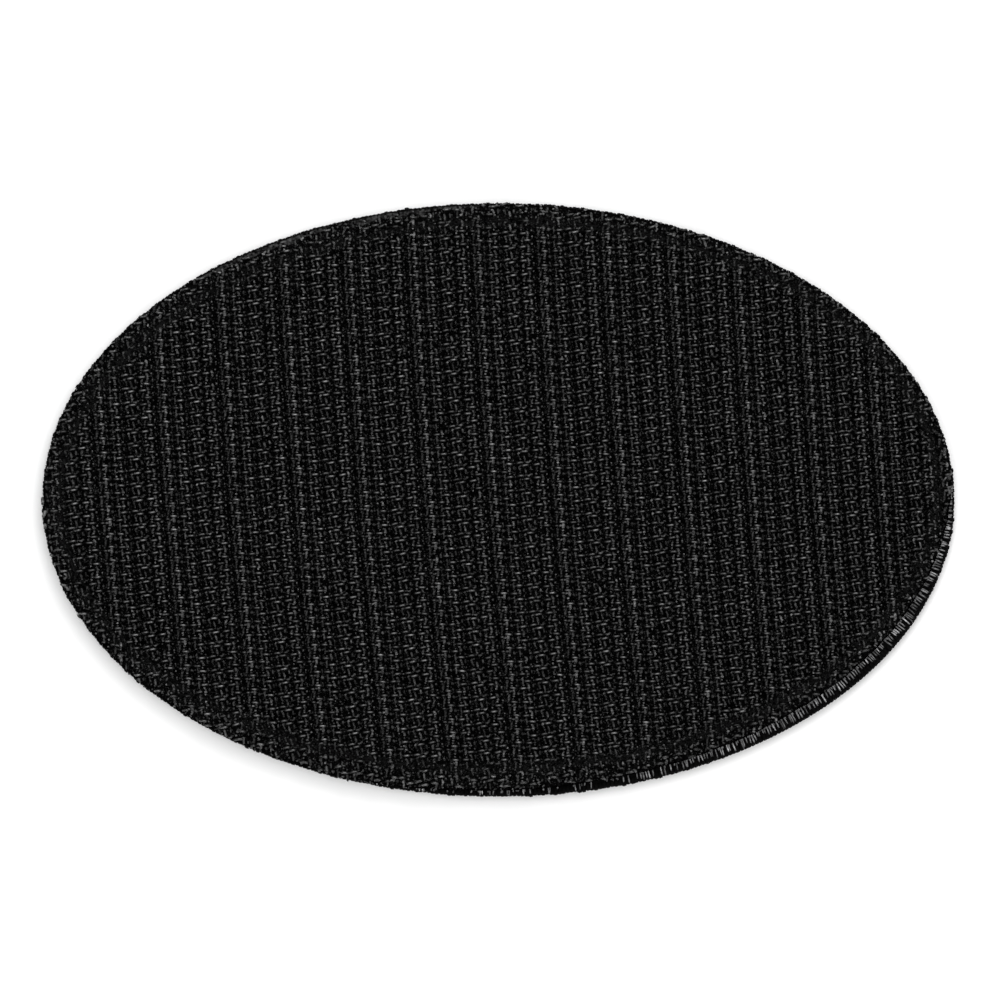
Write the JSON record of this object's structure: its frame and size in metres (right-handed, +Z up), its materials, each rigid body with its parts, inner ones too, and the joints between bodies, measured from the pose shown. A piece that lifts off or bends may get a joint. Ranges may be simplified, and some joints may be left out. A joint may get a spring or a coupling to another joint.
{
  "type": "oval clothing patch with a hook tape back",
  "caption": "Plain oval clothing patch lying on its front, with a stitched border and a sewn-on back of woven hook tape that presses onto a loop panel.",
  "frame": {"origin": "on the surface that the patch lies on, under the middle of its bounding box", "axes": "+X along the oval's length, +Y across it towards the picture's upper edge, +Z up through the hooks; the front of the patch faces down"},
  "size_m": [0.089, 0.058, 0.0034],
  "materials": {
    "face_cloth": "black twill weave, matt",
    "border_thread": "dense stitched thread with a low silky sheen, black with greyer loops on the back",
    "hook_nylon": "woven black nylon ground with stiff glossy single-strand hooks"
  },
  "bodies": {
    "root": {"patch_face": "face_cloth", "edge_border": "border_thread", "hook_tape": "hook_nylon"}
  },
  "joints": []
}
